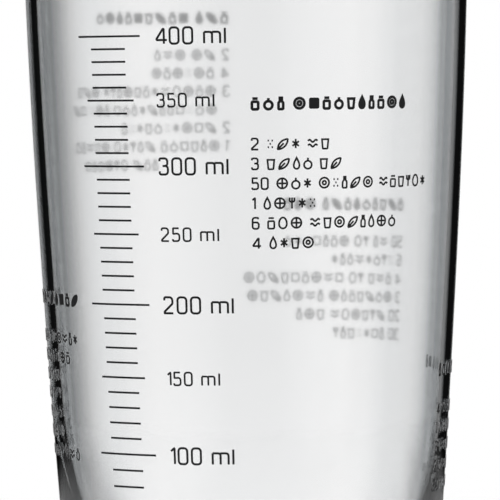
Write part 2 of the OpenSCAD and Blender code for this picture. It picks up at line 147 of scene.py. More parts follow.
def rounded(corners, closed=True, steps=5):
    # polygon with each corner (x, y, radius) replaced by an arc that touches both its sides
    corners = [tuple(c) + (0.0,) * (3 - len(c)) for c in corners]
    count = len(corners)
    out = []
    for i, (x, y, radius) in enumerate(corners):
        here = np.array([x, y])
        if radius <= 0 or (not closed and i in (0, count - 1)):
            out.append(here[None])
            continue
        before = np.array(corners[i - 1][:2]) - here
        after = np.array(corners[(i + 1) % count][:2]) - here
        reachBefore, reachAfter = np.linalg.norm(before), np.linalg.norm(after)
        before, after = before / reachBefore, after / reachAfter
        half = math.acos(max(-1.0, min(1.0, float(before @ after)))) / 2
        cut = min(radius / math.tan(half), reachBefore * 0.499, reachAfter * 0.499)
        radius = cut * math.tan(half)
        middle = here + (before + after) / np.linalg.norm(before + after) * radius / math.sin(half)
        start, stop = here + before * cut - middle, here + after * cut - middle
        sweep = math.atan2(start[0] * stop[1] - start[1] * stop[0], float(start @ stop))
        t = np.linspace(0, sweep, steps + 1)
        out.append(middle + np.stack([start[0] * np.cos(t) - start[1] * np.sin(t),
                                      start[0] * np.sin(t) + start[1] * np.cos(t)], axis=1))
    return np.concatenate(out)


bevelSet = {"merge": 2e-6, "flat": 0.4, "segments": 2, "angle": 38.0}    # metres, degrees


def finishedCopy(node, name, bevel, material, s=bevelSet):
    # copy of a CAD node's mesh with its points merged and flat faces joined, and with a bevel in
    # millimetres on its sharp edges
    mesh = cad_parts[node].data.copy()
    work = bmesh.new()
    work.from_mesh(mesh)
    bmesh.ops.remove_doubles(work, verts=work.verts, dist=s["merge"])
    bmesh.ops.dissolve_limit(work, angle_limit=math.radians(s["flat"]), verts=work.verts, edges=work.edges)
    work.to_mesh(mesh)
    work.free()
    mesh.materials.clear()
    mesh.materials.append(material)
    mesh.polygons.foreach_set("use_smooth", np.ones(len(mesh.polygons), bool))
    mesh.set_sharp_from_angle(angle=math.radians(s["angle"]))
    piece = bpy.data.objects.new(name, mesh)
    scene.collection.objects.link(piece)
    cut = piece.modifiers.new("edges", "BEVEL")
    cut.width = bevel * mm
    cut.segments = s["segments"]
    cut.limit_method = "ANGLE"
    cut.angle_limit = math.radians(s["angle"])
    cut.harden_normals = True
    cut.use_clamp_overlap = True
    return piece


# Materials


def newGroup(name, inputs, outputs):
    group = bpy.data.node_groups.new(name, "ShaderNodeTree")
    for label, kind, value in inputs:
        socket = group.interface.new_socket(label, in_out="INPUT", socket_type=kind)
        if value is not None:
            socket.default_value = value
    for label, kind in outputs:
        group.interface.new_socket(label, in_out="OUTPUT", socket_type=kind)
    return group, group.nodes.new("NodeGroupInput"), group.nodes.new("NodeGroupOutput")


def addNode(tree, kind, inputs=None, **settings):
    node = tree.nodes.new(kind)
    for key, value in settings.items():
        setattr(node, key, value)
    for key, value in (inputs or {}).items():
        if isinstance(value, bpy.types.NodeSocket):
            tree.links.new(value, node.inputs[key])
        else:
            node.inputs[key].default_value = value
    return node


def mathNode(tree, operation, a, b=None, c=None):
    given = {i: v for i, v in enumerate((a, b, c)) if v is not None}
    return addNode(tree, "ShaderNodeMath", given, operation=operation).outputs[0]


def mapNode(tree, value, start, stop, low=0.0, high=1.0, smooth=True):
    # carries the range from start to stop over to the range from low to high, and holds both ends
    return addNode(tree, "ShaderNodeMapRange", {"Value": value, "From Min": start, "From Max": stop,
                                                "To Min": low, "To Max": high},
                   interpolation_type="SMOOTHSTEP" if smooth else "LINEAR").outputs[0]


# noise frequencies per metre, how much the handling marks move the gloss, and strengths of the bumps
grainSet = {"drift": 45.0, "marks": 70.0, "markGloss": 0.12, "plasticBump": 0.5, "metalBump": 0.4}


def moulding():
    # fine moulded grain: two noises of different size, and a slow drift of gloss over the part
    group, start, end = newGroup(
        "mouldedGrain",
        [("Size", "NodeSocketFloat", 0.5), ("Drift", "NodeSocketFloat", 0.06),
         ("Gloss", "NodeSocketFloat", 0.4)],
        [("Height", "NodeSocketFloat"), ("Roughness", "NodeSocketFloat"), ("Shade", "NodeSocketFloat")])
    place = addNode(group, "ShaderNodeTexCoord").outputs["Object"]
    scale = mathNode(group, "DIVIDE", 1000.0, start.outputs["Size"])
    fine = addNode(group, "ShaderNodeTexNoise", {"Vector": place, "Scale": scale, "Detail": 2.0})
    slow = addNode(group, "ShaderNodeTexNoise", {"Vector": place, "Scale": grainSet["drift"], "Detail": 3.0})
    centred = mathNode(group, "SUBTRACT", slow.outputs["Fac"], 0.5)
    rough = mathNode(group, "MULTIPLY_ADD", centred, start.outputs["Drift"], start.outputs["Gloss"])
    group.links.new(fine.outputs["Fac"], end.inputs["Height"])
    group.links.new(rough, end.inputs["Roughness"])
    group.links.new(slow.outputs["Fac"], end.inputs["Shade"])
    return group


def brushing():
    # brushed metal: noise stretched a hundredfold along the brush's way, by the Stretch vector
    group, start, end = newGroup(
        "brushedLines",
        [("Stretch", "NodeSocketVector", (30.0, 30.0, 5000.0)), ("Gloss", "NodeSocketFloat", 0.3),
         ("Spread", "NodeSocketFloat", 0.12)],
        [("Height", "NodeSocketFloat"), ("Roughness", "NodeSocketFloat"), ("Shade", "NodeSocketFloat")])
    place = addNode(group, "ShaderNodeTexCoord").outputs["Object"]
    drawn = addNode(group, "ShaderNodeVectorMath", {0: place, 1: start.outputs["Stretch"]},
                    operation="MULTIPLY").outputs[0]
    lines = addNode(group, "ShaderNodeTexNoise", {"Vector": drawn, "Scale": 1.0, "Detail": 3.0})
    marks = addNode(group, "ShaderNodeTexNoise", {"Vector": place, "Scale": grainSet["marks"], "Detail": 2.0})
    centred = mathNode(group, "SUBTRACT", lines.outputs["Fac"], 0.5)
    handled = mathNode(group, "MULTIPLY", mathNode(group, "SUBTRACT", marks.outputs["Fac"], 0.5),
                       grainSet["markGloss"])
    rough = mathNode(group, "MULTIPLY_ADD", centred, start.outputs["Spread"], start.outputs["Gloss"])
    group.links.new(lines.outputs["Fac"], end.inputs["Height"])
    group.links.new(mathNode(group, "ADD", rough, handled), end.inputs["Roughness"])
    group.links.new(lines.outputs["Fac"], end.inputs["Shade"])
    return group


mouldedGrain = moulding()
brushedLines = brushing()


def newMaterial(name, view):
    material = bpy.data.materials.new(name)
    material.use_nodes = True
    material.diffuse_color = view
    tree = material.node_tree
    return material, tree, tree.nodes["Principled BSDF"]


def grainedPlastic(name, colour, lighter, size, drift, gloss, depth, **more):
    # moulded plastic: colour drifts between two close shades, grain goes to a Bump
    material, tree, shader = newMaterial(name, (*colour, 1.0))
    grain = addNode(tree, "ShaderNodeGroup", node_tree=mouldedGrain)
    grain.inputs["Size"].default_value = size
    grain.inputs["Drift"].default_value = drift
    grain.inputs["Gloss"].default_value = gloss
    ramp = addNode(tree, "ShaderNodeMix", {"Factor": grain.outputs["Shade"]}, data_type="RGBA")
    ramp.inputs[6].default_value = (*colour, 1.0)
    ramp.inputs[7].default_value = (*lighter, 1.0)
    tree.links.new(ramp.outputs[2], shader.inputs["Base Color"])
    tree.links.new(grain.outputs["Roughness"], shader.inputs["Roughness"])
    bump = addNode(tree, "ShaderNodeBump", {"Height": grain.outputs["Height"],
                                            "Strength": grainSet["plasticBump"],
                                            "Distance": depth * mm})
    tree.links.new(bump.outputs["Normal"], shader.inputs["Normal"])
    for key, value in more.items():
        shader.inputs[key.replace("_", " ")].default_value = value
    return material


def brushedMetal(name, dark, light, stretch, gloss, spread, depth, smear=0.0, turn=0.0):
    # metal with fine lines: lines move the colour a little and go to a Bump; smear draws highlights out
    # across the lines, which run round the axis, or along it when turned by a quarter
    material, tree, shader = newMaterial(name, (*light, 1.0))
    lines = addNode(tree, "ShaderNodeGroup", node_tree=brushedLines)
    lines.inputs["Stretch"].default_value = stretch
    lines.inputs["Gloss"].default_value = gloss
    lines.inputs["Spread"].default_value = spread
    ramp = addNode(tree, "ShaderNodeMix", {"Factor": lines.outputs["Shade"]}, data_type="RGBA")
    ramp.inputs[6].default_value = (*dark, 1.0)
    ramp.inputs[7].default_value = (*light, 1.0)
    tree.links.new(ramp.outputs[2], shader.inputs["Base Color"])
    tree.links.new(lines.outputs["Roughness"], shader.inputs["Roughness"])
    shader.inputs["Metallic"].default_value = 1.0
    if smear:
        shader.inputs["Anisotropic"].default_value = smear
        shader.inputs["Anisotropic Rotation"].default_value = turn
        along = addNode(tree, "ShaderNodeTangent", direction_type="RADIAL", axis="Z")
        tree.links.new(along.outputs[0], shader.inputs["Tangent"])
    bump = addNode(tree, "ShaderNodeBump", {"Height": lines.outputs["Height"],
                                            "Strength": grainSet["metalBump"],
                                            "Distance": depth * mm})
    tree.links.new(bump.outputs["Normal"], shader.inputs["Normal"])
    return material


glassSet = {"ior": 1.5,
            "blur": 0.09, "blurFrom": 0.19, "blurTo": 0.235,    # haze of the inside, gone edge-on
            # painted shade of the outside, darker towards its outline, by how edge-on it is seen: position
            # and grey
            "edgeShadeRamp": [(0.0, 0.935), (0.03, 0.95), (0.06, 0.985), (0.12, 1.0), (0.15, 0.965),
                         (0.18, 0.92), (0.21, 0.865), (0.24, 0.80), (0.27, 0.75), (0.33, 0.765),
                         (0.36, 0.785), (0.40, 0.86), (0.45, 0.79), (0.48, 0.67), (0.51, 0.53),
                         (0.54, 0.365), (0.57, 0.39), (0.60, 0.26), (0.63, 0.30), (0.66, 0.6),
                         (0.69, 1.0), (0.72, 0.5), (0.76, 0.3), (0.80, 0.45), (0.84, 0.25),
                         (0.87, 0.6), (0.90, 0.9), (1.0, 1.0)],
            "edgeShadeTint": (0.90, 1.0, 1.06),            # of the darkest part, by red, green and blue
            # painted shade over the thick lower wall: depth, heights in metres where it starts and is full,
            # and its inner and outer edge, by how edge-on the glass is seen
            "lowShade": 0.4, "lowFrom": 0.052, "lowFull": 0.043,
            "lowIn": (0.36, 0.45), "lowOut": (0.53, 0.60)}


def clearGlass(name, ramp):
    # clear glass: over Layer Weight's Facing, a ramp paints shade on the outside, darker towards its outline,
    # and the inside, which has no ramp, has a slight haze that goes where it is seen edge-on; the outside
    # also has painted shade where both height and Facing fall in the ranges of the thick lower wall
    material, tree, shader = newMaterial(name, (0.93, 0.96, 0.96, 0.3))
    shader.inputs["Transmission Weight"].default_value = 1.0
    shader.inputs["Metallic"].default_value = 0.0
    shader.inputs["IOR"].default_value = glassSet["ior"]
    facing = addNode(tree, "ShaderNodeLayerWeight", {"Blend": 0.5}).outputs["Facing"]
    if ramp:
        shader.inputs["Roughness"].default_value = 0.0
        # painted shade: the ramp darkens the outside's colour towards its outline, with a bluish tint where
        # darkest
        edge = addNode(tree, "ShaderNodeValToRGB", {"Fac": facing})
        edge.color_ramp.interpolation = "LINEAR"
        stops = edge.color_ramp.elements
        while len(stops) < len(ramp):
            stops.new(1.0)
        for stop, (position, grey) in zip(stops, ramp):
            stop.position = position
            # the darker the stop, the more of the tint it has
            stop.color = (*(grey * (1 + (tint - 1) * (1 - grey)) for tint in glassSet["edgeShadeTint"]), 1.0)
        # painted shade over the thick lower wall: the outside's colour is darkened where height and Facing
        # fall in its ranges
        place = addNode(tree, "ShaderNodeTexCoord").outputs["Object"]
        height = addNode(tree, "ShaderNodeSeparateXYZ", {0: place}).outputs["Z"]
        low = mapNode(tree, height, glassSet["lowFull"], glassSet["lowFrom"], glassSet["lowShade"], 0.0,
                      smooth=False)
        band = mathNode(tree, "SUBTRACT", mapNode(tree, facing, *glassSet["lowIn"], smooth=False),
                        mapNode(tree, facing, *glassSet["lowOut"], smooth=False))
        keep = mathNode(tree, "SUBTRACT", 1.0, mathNode(tree, "MULTIPLY", low, band))
        shaded = addNode(tree, "ShaderNodeVectorMath", {0: edge.outputs["Color"], "Scale": keep},
                         operation="SCALE")
        tree.links.new(shaded.outputs[0], shader.inputs["Base Color"])
    else:
        haze = mapNode(tree, facing, glassSet["blurFrom"], glassSet["blurTo"], glassSet["blur"], 0.0,
                       smooth=False)
        tree.links.new(haze, shader.inputs["Roughness"])
        shader.inputs["Base Color"].default_value = (1.0, 1.0, 1.0, 1.0)
    return material


glassOutside = clearGlass("glassOutside", glassSet["edgeShadeRamp"])
glassInside = clearGlass("glassInside", None)

# each plastic: two close shades, size of the grain in millimetres, drift of its gloss, its gloss and
# the depth of the grain in millimetres
printInk = grainedPlastic("printInk", (0.004, 0.0045, 0.005), (0.009, 0.0095, 0.0105),
                          0.15, 0.1, 0.55, 0.01, Specular_IOR_Level=0.3)
lidPlastic = grainedPlastic("lidPlastic", (0.020, 0.021, 0.023), (0.028, 0.029, 0.031),
                            0.35, 0.08, 0.42, 0.03)
framePlastic = grainedPlastic("framePlastic", (0.80, 0.81, 0.81), (0.86, 0.87, 0.87),
                              0.5, 0.08, 0.4, 0.02)
softSilicone = grainedPlastic("softSilicone", (0.74, 0.76, 0.76), (0.82, 0.83, 0.83), 0.25, 0.1, 0.55, 0.02,
                              Subsurface_Weight=0.25, Subsurface_Scale=0.002)

# each metal: two close shades, noise frequency along x, y and z, its gloss, the spread of the gloss and
# the depth of the lines in millimetres
bandSteel = brushedMetal("bandSteel", (0.62, 0.625, 0.63), (0.78, 0.785, 0.79), (40.0, 40.0, 5200.0),
                         0.34, 0.10, 0.007, smear=0.7, turn=0.25)
plateSteel = brushedMetal("plateSteel", (0.56, 0.565, 0.57), (0.74, 0.745, 0.75), (40.0, 5200.0, 40.0),
                          0.30, 0.12, 0.008)
turnedSteel = brushedMetal("turnedSteel", (0.66, 0.665, 0.67), (0.78, 0.785, 0.79), (60.0, 60.0, 3500.0),
                           0.16, 0.06, 0.004)

# pale grey of the print's back, partly painted light, and a glow of painted light on that back
inkSet = {"back": (0.30, 0.305, 0.31), "paintedGlow": 0.24}


def paleBackPaintedLight(material, colour, paintedGlow):
    # the print is pale on the side that lies on the glass: where the dot product of the place beside the
    # axis with the normal is negative; that grey is partly the back's own colour and partly painted light,
    # and the glow is painted light that stands for light that reaches that side through the glass
    tree = material.node_tree
    shader = tree.nodes["Principled BSDF"]
    place = addNode(tree, "ShaderNodeTexCoord").outputs["Object"]
    beside = addNode(tree, "ShaderNodeVectorMath", {0: place, 1: (1.0, 1.0, 0.0)},
                     operation="MULTIPLY").outputs[0]
    normal = addNode(tree, "ShaderNodeNewGeometry").outputs["True Normal"]
    out = addNode(tree, "ShaderNodeVectorMath", {0: beside, 1: normal},
                  operation="DOT_PRODUCT").outputs["Value"]
    back = mathNode(tree, "LESS_THAN", out, 0.0)
    front = shader.inputs["Base Color"].links[0].from_socket
    mixed = addNode(tree, "ShaderNodeMix", {"Factor": back}, data_type="RGBA")
    tree.links.new(front, mixed.inputs[6])
    mixed.inputs[7].default_value = (*colour, 1.0)
    tree.links.new(mixed.outputs[2], shader.inputs["Base Color"])
    shader.inputs["Emission Color"].default_value = (1.0, 1.0, 1.0, 1.0)
    tree.links.new(mathNode(tree, "MULTIPLY", back, paintedGlow), shader.inputs["Emission Strength"])


paleBackPaintedLight(printInk, inkSet["back"], inkSet["paintedGlow"])
print("materials made")

# Beaker

beakerSet = {"bellyR": 40.4, "taper": 8.1, "bodyH": 139.0, "power": 1.4, "wall": 2.0, "floor": 6.0,
             "bowlW": 17.0, "bowlH": 47.0, "footFillet": 4.0, "punt": 1.5, "puntR": 23.3, "neckR": 37.1,
             "neckIn": 33.7, "rimZ": 155.0, "throatTop": 143.0, "throatH": 12.0,
             "lead": 8.0, "starts": 2, "ridge": 1.1, "ridgeBase": 1.8, "ridgeCrest": 1.0, "ridgeZ": 145.0,
             "ridgeTurn": 285.0, "ridgeFade": 22.0, "shoulder": 1.5, "shoulderStep": 2.0, "mouth": 0.7,
             "stepW": 1.4, "stepH": 1.2, "columns": 240}


def outerRadius(z, b=beakerSet):
    # r = belly - taper (1 - z / height) ^ power
    return b["bellyR"] - b["taper"] * np.clip(1 - np.asarray(z, float) / b["bodyH"], 0, None) ** b["power"]


def innerRadius(z, b=beakerSet):
    # outer radius less the wall and an elliptic corner, eased over to the neck's bore near the top
    z = np.asarray(z, float)
    up = np.clip(1 - (z - b["floor"]) / b["bowlH"], 0, 1)
    corner = b["bowlW"] * (1 - np.sqrt(np.clip(1 - up ** 2, 0, 1)))
    t = np.clip((z - b["throatTop"] + b["throatH"]) / b["throatH"], 0, 1)
    t = t * t * (3 - 2 * t)
    return (outerRadius(z) - b["wall"] - corner) * (1 - t) + b["neckIn"] * t


def threadShift(angle, r, z, b=beakerSet):
    # two helical ridges: a trapezium across each helix, faded in and out at its ends
    shift = np.zeros(np.broadcast(angle, r).shape)
    onNeck = (np.abs(r - b["neckR"]) < 0.05) & (z > b["bodyH"] + 1.6) & (z < b["rimZ"] - b["mouth"])
    for k in range(b["starts"]):
        along = np.mod(np.degrees(angle) - 360.0 * k / b["starts"], 360.0)
        off = np.abs(z - b["ridgeZ"] - b["lead"] * along / 360.0)
        flank = (b["ridgeBase"] - b["ridgeCrest"]) / 2
        height = np.clip((b["ridgeBase"] / 2 - off) / flank, 0, 1)
        fade = np.clip(np.minimum(along, b["ridgeTurn"] - along) / b["ridgeFade"], 0, 1)
        shift = np.maximum(shift, b["ridge"] * height * fade)
    return np.where(onNeck, shift, 0.0)


def makeBeaker(b=beakerSet):
    low = b["footFillet"]
    foot = rounded([(0.0, b["punt"]), (b["puntR"] - 4, b["punt"], 6.0), (b["puntR"], 0.0, 1.0),
                    (float(outerRadius(low)) - low * 0.02, 0.0, low),
                    (float(outerRadius(low + 0.6)), low + 0.6)], closed=False, steps=8)
    zOut = np.linspace(low + 1.2, b["bodyH"] - 0.2, 90)
    outside = np.stack([outerRadius(zOut), zOut], axis=1)
    ledge = b["bodyH"] + b["shoulder"]
    shoulder = rounded([(b["bellyR"], b["bodyH"]), (b["bellyR"], ledge, b["shoulder"]),
                        (b["neckR"], ledge, 0.4), (b["neckR"], b["bodyH"] + b["shoulderStep"])], closed=False)
    zNeck = np.arange(b["bodyH"] + 2.2, b["rimZ"] - b["mouth"], 0.22)
    neck = np.stack([np.full_like(zNeck, b["neckR"]), zNeck], axis=1)
    stepR, stepZ = b["neckIn"] + b["stepW"], b["rimZ"] - b["stepH"]
    rim = rounded([(b["neckR"], b["rimZ"] - b["mouth"]), (b["neckR"], b["rimZ"], 0.6),
                   (stepR, b["rimZ"], 0.25), (stepR, stepZ, 0.1), (b["neckIn"], stepZ, 0.25),
                   (b["neckIn"], b["rimZ"] - 1.8)], closed=False, steps=4)
    zIn = np.concatenate([np.linspace(b["rimZ"] - 2.2, b["throatTop"], 6)[:-1],
                          np.linspace(b["throatTop"], b["floor"] + b["bowlH"], 70)[:-1]])
    inside = np.stack([innerRadius(zIn), zIn], axis=1)
    t = np.linspace(0, math.pi / 2, 44)
    zBowl = b["floor"] + b["bowlH"] * (1 - np.sin(t))
    bowl = np.stack([innerRadius(zBowl), zBowl], axis=1)
    profile = np.concatenate([foot, outside, shoulder, neck, rim, inside, bowl,
                              [[b["neckIn"] * 0.2, b["floor"]], [0.0, b["floor"]]]])
    innerFrom = len(foot) + len(outside) + len(shoulder) + len(neck) + len(rim)
    slotOfRow = (np.arange(len(profile)) >= innerFrom).astype(int)
    return turned("glassBeaker", profile, b["columns"], radiusShift=threadShift,
                  materials=(glassOutside, glassInside), sharp=50.0, slotOfRow=slotOfRow)


glassBeaker = makeBeaker()
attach(glassBeaker, "beaker")
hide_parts("beaker")
print("beaker made")

# Print on the beaker

printSet = {"gap": 0.02, "thick": 0.06, "markH": 0.35, "middle": -127.8,
            "half": {10: 5.5, 50: 7.6, 100: 10.0},         # half angle of a mark, degrees
            "numberFrom": -113.6, "capBig": 3.2, "capSmall": 2.58, "spreadSmall": 1.05,
            "stroke": 0.39, "thinner": 0.85, "wordGap": 2.6}

# Centre lines of the signs: corners (x, y, rounding) on a height of 1, and True where a line closes
signs = {
    "0": [([(0, 0, .2), (.58, 0, .2), (.58, 1, .2), (0, 1, .2)], True)],
    "1": [([(.06, .80), (.30, 1, .02), (.30, 0)], False)],
    "2": [([(0, .80), (0, 1, .2), (.54, 1, .2), (.54, .60, .16), (0, .10, .06), (0, 0, .02),
            (.58, 0)], False)],
    "3": [([(0, .82), (0, 1, .18), (.52, 1, .18), (.52, .53, .16), (.2, .53)], False),
          ([(.2, .53), (.55, .53, .18), (.55, 0, .2), (0, 0, .2), (0, .2)], False)],
    "4": [([(.74, .23), (0, .23, .05), (.54, 1, .04), (.54, 0)], False)],
    "5": [([(.50, 1), (.03, 1, .03), (.03, .56, .03), (.54, .60, .2), (.54, 0, .2), (0, 0, .18),
            (0, .16)], False)],
    "6": [([(.50, .86), (.50, 1, .18), (0, 1, .2), (0, 0, .2), (.56, 0, .2), (.56, .58, .2),
            (.02, .58)], False)],
    "m": [([(0, 0), (0, .70)], False), ([(0, .70), (.5, .70, .15), (.5, 0)], False),
          ([(.5, .70), (1.0, .70, .15), (1.0, 0)], False)],
    "l": [([(0, 0), (0, .94)], False)],
}
# room that each sign takes up in a row, on the same height of 1
advance = {"0": .88, "1": .56, "2": .88, "3": .85, "4": .93, "5": .84, "6": .86,
           "m": 1.30, "l": .30, " ": .45}


def onGlass(x, y, out, angle, height):
    # wraps flat print round the beaker: the angle grows by x / r, and the radius follows the wall
    z = height + y
    r = outerRadius(z) + printSet["gap"] + out
    a = np.radians(angle) + x / float(outerRadius(height))
    return np.stack([r * np.cos(a), r * np.sin(a), z], axis=-1)


def ribbon(line, width, closed):
    # strip of even width along a centre line: each point is moved along the mean normal of its two sides
    line = np.asarray(line, float)
    if closed:
        ahead, behind = np.roll(line, -1, axis=0) - line, line - np.roll(line, 1, axis=0)
    else:
        step = np.diff(line, axis=0)
        ahead, behind = np.concatenate([step, step[-1:]]), np.concatenate([step[:1], step])
    ahead = ahead / np.linalg.norm(ahead, axis=1, keepdims=True)
    behind = behind / np.linalg.norm(behind, axis=1, keepdims=True)
    mean = ahead + behind
    mean = mean / np.maximum(np.linalg.norm(mean, axis=1, keepdims=True), 1e-6)
    normal = np.stack([-mean[:, 1], mean[:, 0]], axis=1)
    stretch = 1 / np.clip((mean * ahead).sum(axis=1, keepdims=True), 0.5, 1)
    return line + normal * stretch * width / 2, line - normal * stretch * width / 2


class Print:
    # collects flat strips and blots, wraps each one round the glass as a thin closed body and joins them

    def __init__(self):
        self.verts, self.quads, self.tris, self.count = [], [], [], 0

    def keep(self, points, quads, tris=()):
        self.quads += [np.asarray(q) + self.count for q in quads]
        self.tris += [np.asarray(t) + self.count for t in tris]
        self.verts.append(points)
        self.count += len(points)

    def strip(self, line, width, closed, angle, height):
        # four corners at each point of the line: right and left, on the outside and on the glass
        left, right = ribbon(line, width, closed)
        rows, top = len(left), printSet["thick"]
        ring = [onGlass(p[:, 0], p[:, 1], out, angle, height)
                for p, out in ((right, top), (left, top), (left, 0.0), (right, 0.0))]
        i = np.arange(rows if closed else rows - 1)
        here, there = i * 4, ((i + 1) % rows) * 4
        quads = [np.stack([here + k, there + k, there + (k + 1) % 4, here + (k + 1) % 4], axis=1)
                 for k in range(4)]
        if not closed:
            last = (rows - 1) * 4
            quads.append(np.array([[0, 1, 2, 3], [last + 3, last + 2, last + 1, last]]))
        self.keep(np.stack(ring, axis=1).reshape(-1, 3), quads)

    def blot(self, line, width, angle, height):
        # filled outline: a fan from its middle on the outside, another on the glass, and a rim between them
        line = ribbon(line, width, True)[1]
        middle = line.mean(axis=0, keepdims=True)
        count = len(line)
        i, k = np.arange(count), (np.arange(count) + 1) % count
        outer = onGlass(line[:, 0], line[:, 1], printSet["thick"], angle, height)
        inner = onGlass(line[:, 0], line[:, 1], 0.0, angle, height)
        poles = [onGlass(middle[:, 0], middle[:, 1], out, angle, height) for out in (printSet["thick"], 0.0)]
        self.keep(np.concatenate([outer, inner, *poles]),
                  [np.stack([i, i + count, k + count, k], axis=1)],
                  [np.stack([i, k, np.full(count, 2 * count)], axis=1),
                   np.stack([k + count, i + count, np.full(count, 2 * count + 1)], axis=1)])

    def sign(self, strokes, x, y, size, width, angle, height, filled=False):
        for corners, closed in strokes:
            line = rounded(corners, closed) if isinstance(corners, list) else corners
            line = line * size + np.array([x, y])
            if filled and closed:
                self.blot(line, width, angle, height)
            else:
                self.strip(line, width, closed, angle, height)

    def number(self, text, cap, width, spread, angle, height):
        size, x = cap - width, width / 2
        for letter in text:
            if letter != " ":
                self.sign(signs[letter], x, -size / 2, size, width, angle, height)
            x += advance[letter] * size * spread

    def line(self, text, wide, cap, width, angle, height, filled):
        # words stand two spaces apart, signs one; the gaps are such that the line is as wide as given
        size = cap - width
        words = [word.split() for word in text.split("  ")]
        reach = {name: signReach(name) for word in words for name in word}
        solid = sum((reach[name][1] - reach[name][0]) * size + width for word in words for name in word)
        gaps = sum(len(word) - 1 for word in words) + printSet["wordGap"] * (len(words) - 1)
        gap = (wide - solid) / max(gaps, 1)
        x = width / 2
        for word in words:
            for name in word:
                low, high = reach[name]
                for letter, shift in parts(name):
                    self.sign(pictures.get(letter) or signs[letter], x + (shift - low) * size,
                              -size / 2, size, width, angle, height, filled and letter in solidSigns)
                x += (high - low) * size + width + gap
            x += gap * (printSet["wordGap"] - 1)

    def mesh(self, name, material):
        return putMesh(name, np.concatenate(self.verts), np.concatenate(self.quads),
                       np.concatenate(self.tris) if self.tris else None, (material,), 30.0)


def fillHeights(marks, b=beakerSet, step=0.5):
    # height at which the inside holds each volume in millilitres: slices of pi r^2 dz added up from the floor
    z = np.arange(b["floor"], b["bodyH"], step)
    held = np.concatenate([[0], np.cumsum(np.pi * innerRadius(z + step / 2) ** 2 * step)])
    return np.interp(np.asarray(marks) * 1000.0, held, np.concatenate([z, [z[-1] + step]]))


def makeScale(p=printSet):
    ink = Print()
    marks = np.arange(50, 401, 10)
    for mark, height in zip(marks, fillHeights(marks)):
        size = 100 if mark % 100 == 0 else 50 if mark % 50 == 0 else 10
        half = math.radians(p["half"][size]) * float(outerRadius(height))
        x = np.linspace(-half, half, 2 + int(half / 0.5))
        ink.strip(np.stack([x, np.zeros_like(x)], axis=1), p["markH"], False, p["middle"], float(height))
        if size > 10 and mark > 50:
            cap, width, spread = ((p["capBig"], p["stroke"], 1.0) if size == 100 else
                                  (p["capSmall"], p["stroke"] * p["thinner"], p["spreadSmall"]))
            ink.number(f"{mark} ml", cap, width, spread, p["numberFrom"], float(height))
    return ink.mesh("scalePrint", printInk)


scalePrint = makeScale()
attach(scalePrint, "beaker")
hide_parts("scale_marks")
print("scale printed")


def arcLine(cx, cy, rx, ry, start=0.0, stop=360.0, steps=20):
    t = np.radians(np.linspace(start, stop, steps + 1))
    t = t[:-1] if stop - start == 360.0 else t
    return np.stack([cx + rx * np.cos(t), cy + ry * np.sin(t)], axis=1)


def dropLine(steps=22):
    # x = 0.36 sin t cos(t / 2) ^ 1.2, y = 0.5 - 0.5 cos t: round below and pointed at the top
    t = np.linspace(-np.pi, np.pi, steps + 1)[:-1]
    return np.stack([0.36 * np.sin(t) * np.cos(t / 2) ** 1.2, 0.5 - 0.5 * np.cos(t)], axis=1)


def leafLine():
    # two arcs that meet in a point at the stem and at the tip
    low, high = arcLine(0.0, 0.92, 0.92, 0.92, -88, -2, 8), arcLine(0.92, 0.0, 0.92, 0.92, 92, 178, 8)
    return np.concatenate([low, high])


def waveLine(y):
    x = np.linspace(0.0, 0.9, 13)
    return np.stack([x, y + 0.11 * np.sin(2 * np.pi * x / 0.6)], axis=1)


# Plain kitchen signs, drawn in the same way
pictures = {
    "drop": [(dropLine(), True)],
    "leaf": [(leafLine(), True), ([(.02, .02), (.55, .55)], False)],
    "slice": [(arcLine(.46, .5, .46, .46), True), (arcLine(.46, .5, .17, .17, steps=12), True)],
    "citrus": [(arcLine(.46, .5, .46, .46), True), ([(.46, .1), (.46, .9)], False),
               ([(.1, .5), (.82, .5)], False)],
    "fork": [([(0, 1), (0, .62, .12), (.44, .62, .12), (.44, 1)], False), ([(.22, 1), (.22, 0)], False)],
    "jar": [([(.0, .0, .12), (.56, .0, .12), (.56, .68, .1), (.0, .68, .1)], True),
            ([(.04, .96), (.52, .96)], False)],
    "bottle": [([(0, 0, .08), (.42, 0, .08), (.42, .55, .1), (.30, .70), (.30, 1), (.12, 1), (.12, .70),
                 (0, .55, .1)], True)],
    "cup": [([(.08, 0, .08), (.54, 0, .08), (.62, .85), (0, .85)], True)],
    "egg": [(arcLine(.36, .42, .36, .42, 180, 360, 10), False),
            (arcLine(.36, .42, .36, .58, 0, 180, 10), False)],
    "bulb": [(arcLine(.36, .36, .36, .36), True), ([(.36, .72), (.36, 1.0)], False)],
    "oil": [(waveLine(.72), False), (waveLine(.30), False)],
    "pepper": [([(.3, .08), (.3, .92)], False), ([(0, .29), (.6, .71)], False),
               ([(0, .71), (.6, .29)], False)],
    "salt": [([(.0, .2), (.13, .2)], False), ([(.36, .2), (.49, .2)], False), ([(.18, .5), (.31, .5)], False),
             ([(.0, .8), (.13, .8)], False), ([(.36, .8), (.49, .8)], False)],
    "block": [([(0, .12, .06), (.72, .12, .06), (.72, .86, .06), (0, .86, .06)], True)],
}


solidSigns = ("drop", "leaf", "block")         # filled in a title, where the others are bold outlines


def parts(name):
    # a picture, or the figures of a number one after another
    if name in pictures:
        return [(name, 0.0)]
    shifts = np.concatenate([[0.0], np.cumsum([advance[letter] for letter in name[:-1]])])
    return list(zip(name, shifts))


def signReach(name):
    # how far a sign reaches to the left and to the right
    ends = []
    for letter, shift in parts(name):
        for corners, closed in pictures.get(letter) or signs[letter]:
            across = [shift + float(c[0]) for c in corners]
            ends += [min(across), max(across)]
    return min(ends), max(ends)


